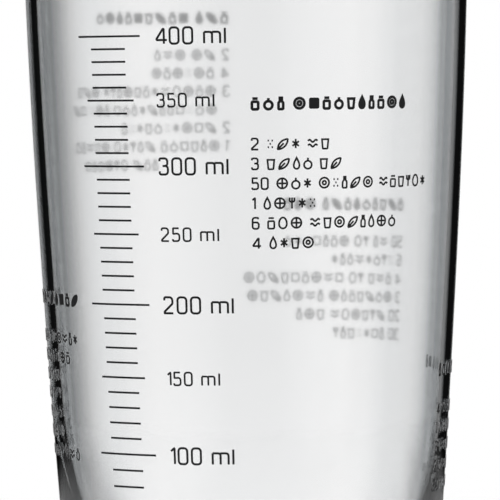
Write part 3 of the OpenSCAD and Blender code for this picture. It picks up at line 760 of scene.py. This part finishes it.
# Panels round the beaker, each with its start angle, the height of its title's middle and its lines.
# A line has its indent and its width, both in degrees, and its signs. The first line is the title.
panelSet = {"cap": 2.25, "stroke": 0.33, "titleCap": 2.45, "titleStroke": 0.5,
            "firstGap": 7.0, "pitch": 3.45}
panels = [
    (-89.2, 107.2, [
        (0, 44, "jar bulb bottle  slice block jar bulb cup drop bottle jar slice drop"),
        (0, 20.5, "2  salt leaf pepper  oil cup"),
        (0, 24, "3  cup leaf drop bulb  cup leaf"),
        (0, 53, "50  citrus bulb pepper  slice salt bottle leaf slice  oil jar cup fork egg pepper"),
        (0, 17, "1  drop citrus fork pepper salt"),
        (0, 41.5, "6  jar egg citrus  oil cup slice leaf bottle drop citrus bulb"),
        (0, 16.5, "4  drop pepper cup slice"),
    ]),
    (-23.1, 59.0, [
        (0, 42, "bottle cup drop block bulb jar cup bottle bulb jar  block bottle"),
        (0, 24, "4  fork block  bottle slice cup fork"),
        (0, 21, "1  cup citrus drop oil leaf"),
        (0, 26, "3  citrus oil cup  egg pepper drop"),
        (0, 18, "2  jar citrus oil drop"),
        (0, 30, "50  fork citrus  bottle pepper cup fork block"),
    ]),
    (37.7, 87.6, [
        (0, 42, "jar leaf cup bottle bulb drop jar leaf bottle  slice drop jar"),
        (0, 42, "50  oil bottle  fork egg  citrus jar bottle block salt pepper bulb"),
        (0, 27, "6  salt fork bulb pepper oil drop bottle pepper"),
        (0, 54, "4  jar oil cup  fork egg  block oil citrus jar block cup leaf egg slice"),
        (0, 53, "3  citrus bulb leaf cup jar drop citrus  bottle oil slice drop leaf cup citrus"),
        (0, 38, "20  leaf fork cup slice egg oil  cup citrus bottle"),
        (0, 26, "30  bottle block pepper salt cup bottle fork"),
    ]),
    (95.1, 123.0, [
        (0, 42, "jar leaf drop  block jar leaf cup block jar drop slice bulb"),
        (0, 22, "2  leaf citrus  slice oil drop"),
        (0, 23, "4  jar slice salt citrus jar slice"),
        (0, 52, "3  citrus jar slice egg oil pepper jar cup citrus bottle fork pepper  citrus leaf cup"),
        (3.7, 51, "citrus bulb salt block drop bottle leaf pepper drop bulb block  "
                  "bottle slice salt  block leaf"),
        (0, 34, "2  leaf block slice pepper salt bulb cup pepper salt jar"),
        (0, 54.5, "1  slice bottle cup block bulb jar  leaf drop fork pepper egg  citrus cup oil bottle egg"),
        (22, 28, "bottle jar leaf  egg fork slice cup drop block"),
    ]),
    (171.4, 72.5, [
        (0, 44.5, "slice drop jar bottle  cup slice jar leaf drop block jar leaf"),
        (0, 43, "3  drop block egg slice bottle pepper  drop salt slice oil bottle pepper"),
        (0, 38, "2  leaf fork citrus cup pepper bottle bulb block  citrus jar"),
        (0, 27, "1  oil block bulb jar leaf cup bulb"),
        (0, 24, "4  bulb fork citrus pepper leaf fork"),
        (0, 26, "5  leaf bulb pepper fork drop bulb salt"),
        (0, 24, "20  jar oil egg drop citrus"),
        (0, 40, "30  oil pepper citrus slice bulb fork  egg oil drop"),
    ]),
]


def makePanels(p=panelSet):
    ink = Print()
    for angle, top, lines in panels:
        for row, (indent, wide, text) in enumerate(lines):
            cap, width = (p["titleCap"], p["titleStroke"]) if row == 0 else (p["cap"], p["stroke"])
            height = top if row == 0 else top - p["firstGap"] - (row - 1) * p["pitch"]
            arc = math.radians(wide) * float(outerRadius(height))
            ink.line(text, arc, cap, width, angle + indent, height, row == 0)
    return ink.mesh("panelPrint", printInk)


panelPrint = makePanels()
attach(panelPrint, "beaker")
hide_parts("recipe_marks")
print("panels printed")

# Lid


def dress(node, material):
    # gives the material to a CAD node that is shown as it is
    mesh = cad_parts[node].data
    mesh.materials.clear()
    mesh.materials.append(material)


lidSet = {"edge": 0.35, "capEdge": 0.45, "plateEdge": 0.15}

lidShell = finishedCopy("lid_top", "lidShell", lidSet["edge"], lidPlastic)
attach(lidShell, "lid")
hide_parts("lid_top")

flipCap = finishedCopy("flip_cap", "flipCap", lidSet["capEdge"], lidPlastic)
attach(flipCap, "cap")
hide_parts("flip_cap")

bandSet = {"inR": 39.9, "outR": 40.4, "low": 142.05, "high": 159.45, "edge": 0.18}
bandCorners = [(bandSet["inR"], bandSet["low"]), (bandSet["outR"], bandSet["low"], bandSet["edge"]),
               (bandSet["outR"], bandSet["high"], bandSet["edge"]), (bandSet["inR"], bandSet["high"])]
trimBand = turned("trimBand", rounded(bandCorners), 192, loop=True, materials=(bandSteel,), sharp=50.0)
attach(trimBand, "lid")
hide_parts("trim_band")

ringSet = {"inR": 36.4, "outR": 40.4, "low": 160.5, "top": 168.2, "edge": 0.7,
           "grooveLow": 162.6, "grooveTop": 164.5, "grooveR": 37.0,
           "flutes": 40, "fluteR": 0.9, "fluteIn": 0.45, "fluteFrom": 161.7, "fluteFade": 0.5,
           "breaks": (161.6, 161.9, 162.3, 164.0, 166.0)}


def fluteShift(angle, r, z, s=ringSet):
    # round flutes down the outside: depth = sqrt(fluteR^2 - s^2) - (fluteR - fluteIn), s along the arc
    pitch = 2 * np.pi / s["flutes"]
    arc = (np.mod(angle + pitch / 2, pitch) - pitch / 2) * s["outR"]
    depth = np.sqrt(np.clip(s["fluteR"] ** 2 - arc ** 2, 0, None)) - (s["fluteR"] - s["fluteIn"])
    fade = np.clip((z - s["fluteFrom"]) / s["fluteFade"], 0, 1)
    outside = np.clip((r - (s["outR"] - s["edge"])) / s["edge"], 0, 1)
    return -np.clip(depth, 0, None) * fade * outside


def makeRing(s=ringSet):
    # the straight outside has extra points, where the flutes start and end
    corners = [(s["inR"], s["low"], 0.2), (s["outR"], s["low"], 0.4), *((s["outR"], z) for z in s["breaks"]),
               (s["outR"], s["top"], 1.0), (s["inR"], s["top"], 0.5),
               (s["inR"], s["grooveTop"], 0.1), (s["grooveR"], s["grooveTop"], 0.1),
               (s["grooveR"], s["grooveLow"], 0.1), (s["inR"], s["grooveLow"], 0.1)]
    return turned("lockRing", rounded(corners), 640, radiusShift=fluteShift, loop=True,
                  materials=(lidPlastic,), sharp=50.0)


lockRing = makeRing()
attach(lockRing, "ring")
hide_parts("lock_ring")

lugSet = {"turn": 208.0, "half": 8.0, "inR": 33.5, "outR": 36.6, "low": 166.9, "top": 168.2, "edge": 0.3}


def makeLug(s=lugSet):
    # rounded rectangle carried along an arc round the lid's axis and narrowed at its two closed ends
    section = rounded([(s["inR"], s["low"], s["edge"]), (s["outR"], s["low"]), (s["outR"], s["top"]),
                       (s["inR"], s["top"], s["edge"])])
    turn = np.radians(s["turn"] + np.linspace(-s["half"], s["half"], 15))
    inward = np.zeros((len(turn), 1))
    inward[[0, -1]] = s["edge"]
    r = np.maximum(section[None, :, 0], s["inR"] + inward)
    z = np.clip(section[None, :, 1], s["low"] + inward, s["top"] - inward)
    points = np.stack([r * np.cos(turn)[:, None], r * np.sin(turn)[:, None], z], axis=2)
    rows, columns = len(turn), len(section)
    i, j = np.meshgrid(np.arange(rows - 1), np.arange(columns), indexing="ij")
    here, side = i * columns + j, i * columns + (j + 1) % columns
    quads = np.stack([here, here + columns, side + columns, side], axis=2).reshape(-1, 4)
    ends = points[[0, -1]].mean(axis=1)
    k = np.arange(columns)
    nextK, last = (k + 1) % columns, (rows - 1) * columns
    pole = np.full(columns, rows * columns)
    tris = np.concatenate([np.stack([k, nextK, pole], axis=1),
                           np.stack([last + nextK, last + k, pole + 1], axis=1)])
    verts = np.concatenate([points.reshape(-1, 3), ends])
    return putMesh("ringLug", verts, quads, tris, (lidPlastic,), 50.0)


ringLug = makeLug()
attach(ringLug, "ring")

spoutSet = {"x": -20.0, "inR": 6.5, "outR": 8.0, "flangeR": 10.0, "lipR": 9.0, "low": 160.5,
            "deck": 165.05, "flange": 166.5, "top": 175.0}


def makeSpout(s=spoutSet):
    corners = [(s["inR"], s["low"], 0.2), (s["outR"], s["low"], 0.2), (s["outR"], s["deck"], 0.05),
               (s["flangeR"], s["deck"], 0.3), (s["flangeR"], s["flange"], 0.5),
               (s["outR"], s["flange"], 0.6), (s["outR"], s["top"] - 3.0, 3.0),
               (s["lipR"], s["top"] - 0.3, 0.3), (s["lipR"] - 0.35, s["top"], 0.3),
               (s["inR"], s["top"], 0.7)]
    return turned("pourSpout", rounded(corners, steps=6), 96, centre=(s["x"], 0.0), loop=True,
                  materials=(turnedSteel,), sharp=50.0)


pourSpout = makeSpout()
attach(pourSpout, "lid")
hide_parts("pour_spout")

for node, material in (("sieve_frame", framePlastic), ("sieve_disc", turnedSteel),
                       ("lid_seal", softSilicone), ("spout_gasket", softSilicone),
                       ("spout_clip", turnedSteel), ("hinge_pin", turnedSteel), ("pin_caps", turnedSteel),
                       ("spout_plug", softSilicone), ("vent_plug", softSilicone)):
    dress(node, material)

capPlate = finishedCopy("cap_inlay", "capPlate", lidSet["plateEdge"], plateSteel)
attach(capPlate, "cap")
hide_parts("cap_inlay")
print("lid dressed")

# Floor, world and lamps

floorSet = {"radius": 450.0, "below": 0.02, "fadeFrom": 0.16, "fadeTo": 0.42,
            "colour": (0.92, 0.925, 0.93), "throughGlass": 0.75}


def makeFloor(s=floorSet):
    # pale paper that fades into the white backdrop; seen through glass it is mostly the backdrop too
    radii = np.linspace(0, s["radius"], 24)
    profile = np.stack([radii, np.full_like(radii, -s["below"])], axis=1)[::-1]
    floor = turned("floor", profile, 96)
    material, tree, shader = newMaterial("floorPaper", (*s["colour"], 1.0))
    shader.inputs["Base Color"].default_value = (*s["colour"], 1.0)
    shader.inputs["Roughness"].default_value = 0.9
    shader.inputs["Specular IOR Level"].default_value = 0.1
    path = addNode(tree, "ShaderNodeLightPath")
    place = addNode(tree, "ShaderNodeTexCoord").outputs["Object"]
    away = addNode(tree, "ShaderNodeVectorMath", {0: place}, operation="LENGTH").outputs["Value"]
    fade = mapNode(tree, away, s["fadeFrom"], s["fadeTo"])
    through = mathNode(tree, "MULTIPLY", path.outputs["Is Transmission Ray"], s["throughGlass"])
    inside = mathNode(tree, "GREATER_THAN", path.outputs["Glossy Depth"], 0.5)
    inside = mathNode(tree, "MULTIPLY", inside, path.outputs["Is Transmission Ray"])
    see = mathNode(tree, "MAXIMUM", mathNode(tree, "MAXIMUM", fade, through), inside)
    clear = addNode(tree, "ShaderNodeBsdfTransparent")
    mixed = addNode(tree, "ShaderNodeMixShader", {0: see})
    tree.links.new(shader.outputs[0], mixed.inputs[1])
    tree.links.new(clear.outputs[0], mixed.inputs[2])
    tree.links.new(mixed.outputs[0], tree.nodes["Material Output"].inputs["Surface"])
    floor.data.materials.append(material)


makeFloor()

# Parts of the world, by the direction of the light: x to the right, y away from the camera, z up
worldSet = {"backdrop": 1.0, "ambient": 0.45, "dark": 0.006,
            "panels": 4, "panelEdge": (0.6, 0.88),    # panels round the room, and their soft edges
            "backPanel": 0.9, "sidePanel": 0.4, "sideToBack": (0.3, 0.7), "frontEnd": (-0.7, -0.4),
            "ceiling": 0.5, "ceilingEdge": (0.3, 0.8),
            "window": 0.45, "windowTurn": 42.0,       # degrees from the front towards the right
            "windowEdge": (0.86, 0.985),
            "thrownTurn": 6.5,                        # turn of the panels for light thrown back in the glass
            "rightPanel": 0.32, "rightEdge": (0.43, 0.51),    # panel on the right for light thrown back
            "stripAt": -0.172, "strip": 0.56,         # darker strip of the backdrop, seen through the glass
            "stripEdge": (0.02, 0.085)}


def makeWorld(s=worldSet):
    # white backdrop for the camera and through the glass; for reflections, and for light thrown back inside
    # the glass, a dark room with narrow white panels behind and at both sides, a soft window in front on the
    # right, and a pale ceiling and floor
    world = bpy.data.worlds.new("studio")
    world.use_nodes = True
    scene.world = world
    tree = world.node_tree
    tree.nodes.clear()
    path = addNode(tree, "ShaderNodeLightPath")
    isTransmission = path.outputs["Is Transmission Ray"]
    away = addNode(tree, "ShaderNodeTexCoord").outputs["Generated"]
    axes = addNode(tree, "ShaderNodeSeparateXYZ", {0: away})
    turn = mathNode(tree, "ARCTAN2", axes.outputs["Y"], axes.outputs["X"])
    turn = mathNode(tree, "MULTIPLY_ADD", isTransmission, -math.radians(s["thrownTurn"]), turn)
    wave = mathNode(tree, "COSINE", mathNode(tree, "MULTIPLY", turn, float(s["panels"])))
    panel = mapNode(tree, wave, *s["panelEdge"])
    share = mapNode(tree, axes.outputs["Y"], *s["sideToBack"], s["sidePanel"], s["backPanel"], smooth=False)
    front = mapNode(tree, axes.outputs["Y"], *s["frontEnd"], smooth=False)
    panel = mathNode(tree, "MULTIPLY", mathNode(tree, "MULTIPLY", panel, share), front)
    aim = math.radians(s["windowTurn"])
    facing = addNode(tree, "ShaderNodeVectorMath", {0: away, 1: (math.sin(aim), -math.cos(aim), 0.0)},
                     operation="DOT_PRODUCT").outputs["Value"]
    window = mapNode(tree, facing, *s["windowEdge"], 0.0, s["window"])
    slope = mathNode(tree, "ABSOLUTE", axes.outputs["Z"])
    ceiling = mapNode(tree, slope, *s["ceilingEdge"], s["dark"], s["ceiling"])
    right = mapNode(tree, axes.outputs["X"], *s["rightEdge"], 0.0, s["rightPanel"])
    right = mathNode(tree, "MULTIPLY", mathNode(tree, "MULTIPLY", right, front), isTransmission)
    room = panel
    for part in (window, ceiling, right):
        room = mathNode(tree, "MAXIMUM", room, part)
    thrown = mathNode(tree, "GREATER_THAN", path.outputs["Glossy Depth"], 0.5)
    straight = mathNode(tree, "MULTIPLY", isTransmission, mathNode(tree, "SUBTRACT", 1.0, thrown))
    white = mathNode(tree, "MAXIMUM", path.outputs["Is Camera Ray"], straight)
    diffuse = path.outputs["Is Diffuse Ray"]
    rest = mathNode(tree, "SUBTRACT", 1.0, mathNode(tree, "MAXIMUM", white, diffuse))
    beside = mathNode(tree, "ABSOLUTE", mathNode(tree, "SUBTRACT", axes.outputs["X"], s["stripAt"]))
    flag = mapNode(tree, beside, *s["stripEdge"], s["strip"], 1.0)
    flag = mathNode(tree, "MAXIMUM", flag, path.outputs["Is Camera Ray"])
    level = mathNode(tree, "MULTIPLY", mathNode(tree, "MULTIPLY", white, flag), s["backdrop"])
    level = mathNode(tree, "MULTIPLY_ADD", diffuse, s["ambient"], level)
    level = mathNode(tree, "MULTIPLY_ADD", rest, room, level)
    back = addNode(tree, "ShaderNodeBackground", {"Strength": level})
    back.inputs["Color"].default_value = (1.0, 1.0, 1.0, 1.0)
    out = addNode(tree, "ShaderNodeOutputWorld")
    tree.links.new(back.outputs[0], out.inputs["Surface"])


makeWorld()

lampAim = Vector((0, 0, 0.08))
lampSet = {"top": {"spot": (0.1, -0.1, 1.4), "size": 1.1, "power": 7.0},     # metres and watts
           "left": {"spot": (-1.2, -0.9, 0.9), "size": 0.9, "power": 8.0},
           "right": {"spot": (1.2, -0.5, 0.7), "size": 0.9, "power": 4.0},
           "back": {"spot": (0.3, 1.3, 0.9), "size": 0.9, "power": 5.0}}
for name, lamp in lampSet.items():
    data = bpy.data.lights.new(name, "AREA")
    data.size = lamp["size"]
    data.energy = lamp["power"]
    light = bpy.data.objects.new(name, data)
    scene.collection.objects.link(light)
    spot = Vector(lamp["spot"])
    turn = (lampAim - spot).to_track_quat("-Z", "Y").to_matrix().to_4x4()
    light.matrix_world = Matrix.Translation(spot) @ turn
    light.visible_camera = False
    light.visible_transmission = False

scene.view_settings.view_transform = "Standard"
print("studio lit")
